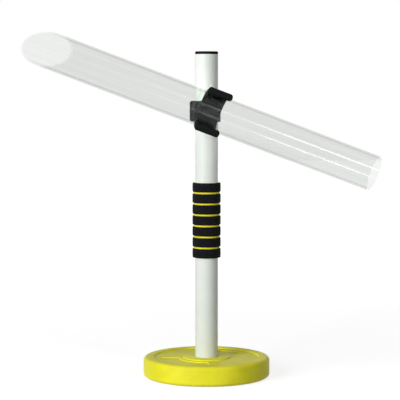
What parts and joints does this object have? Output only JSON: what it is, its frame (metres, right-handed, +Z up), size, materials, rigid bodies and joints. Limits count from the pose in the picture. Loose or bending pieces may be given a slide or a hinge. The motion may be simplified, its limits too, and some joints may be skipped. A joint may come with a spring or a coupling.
{
  "type": "table tennis ball server",
  "caption": "Gravity ball server for table tennis: clear tube with a scoop end in a swivelling snap clip on a pole with a foam grip and a round weight plate.",
  "frame": {"origin": "centre of the underside of the base, on the pole's axis, on the surface that it stands on", "axes": "+Z up along the pole; +X along the ball tube's slope, towards its low end; the tube lies in front of the pole, towards -Y"},
  "size_m": [0.4932, 0.177, 0.4806],
  "materials": {
    "plate_plastic": "satin",
    "cement": "matte",
    "pad_rubber": "matte",
    "pole_paint": "gloss",
    "black_plastic": "satin",
    "zinc_steel": "satin",
    "black_steel": "satin",
    "yellow_foam": "matte",
    "black_foam": "matte",
    "clear_plastic": "gloss"
  },
  "bodies": {
    "base": {"plate_shell": "plate_plastic", "plate_ballast": "cement", "plate_filler_plug": "plate_plastic", "plate_pad": "pad_rubber"},
    "post": {"pole": "pole_paint", "pole_cap": "black_plastic", "foot_plug": "black_plastic", "foot_expander": "zinc_steel", "foot_bolt": "zinc_steel", "foot_washer": "zinc_steel", "grip_sleeve": "yellow_foam", "grip_band_1": "black_foam", "grip_band_2": "black_foam", "grip_band_3": "black_foam", "grip_band_4": "black_foam", "grip_band_5": "black_foam", "grip_band_6": "black_foam", "grip_band_7": "black_foam"},
    "clip": {"pole_clip": "black_plastic", "swivel_nut": "zinc_steel", "swivel_screw": "black_steel", "swivel_washer": "black_plastic"},
    "cradle": {"tube_clip": "black_plastic"},
    "tube": {"ball_tube_1": "clear_plastic", "ball_tube_2": "clear_plastic", "ball_tube_3": "clear_plastic", "ball_tube_4": "clear_plastic", "ball_tube_5": "clear_plastic", "ball_tube_6": "clear_plastic", "ball_tube_7": "clear_plastic", "ball_tube_8": "clear_plastic", "ball_tube_9": "clear_plastic", "ball_tube_10": "clear_plastic", "ball_tube_11": "clear_plastic", "ball_tube_12": "clear_plastic"}
  },
  "joints": [
    {"name": "pole_turn", "type": "hinge", "parent": "base", "child": "post", "pos_m": [0, 0, 0], "axis": [0, 0, 1], "continuous": true},
    {"name": "clip_height", "type": "slide", "parent": "post", "child": "clip", "axis": [0, 0, 1], "range_m": [-0.083, 0.064]},
    {"name": "tube_tilt", "type": "hinge", "parent": "clip", "child": "cradle", "pos_m": [0, -0.0213, 0.3725], "axis": [0, 1, 0], "range_deg": [-80.7, 39.3]},
    {"name": "tube_slide", "type": "slide", "parent": "cradle", "child": "tube", "axis": [-0.9354, 0, 0.3535], "range_m": [-0.18, 0.22]}
  ]
}
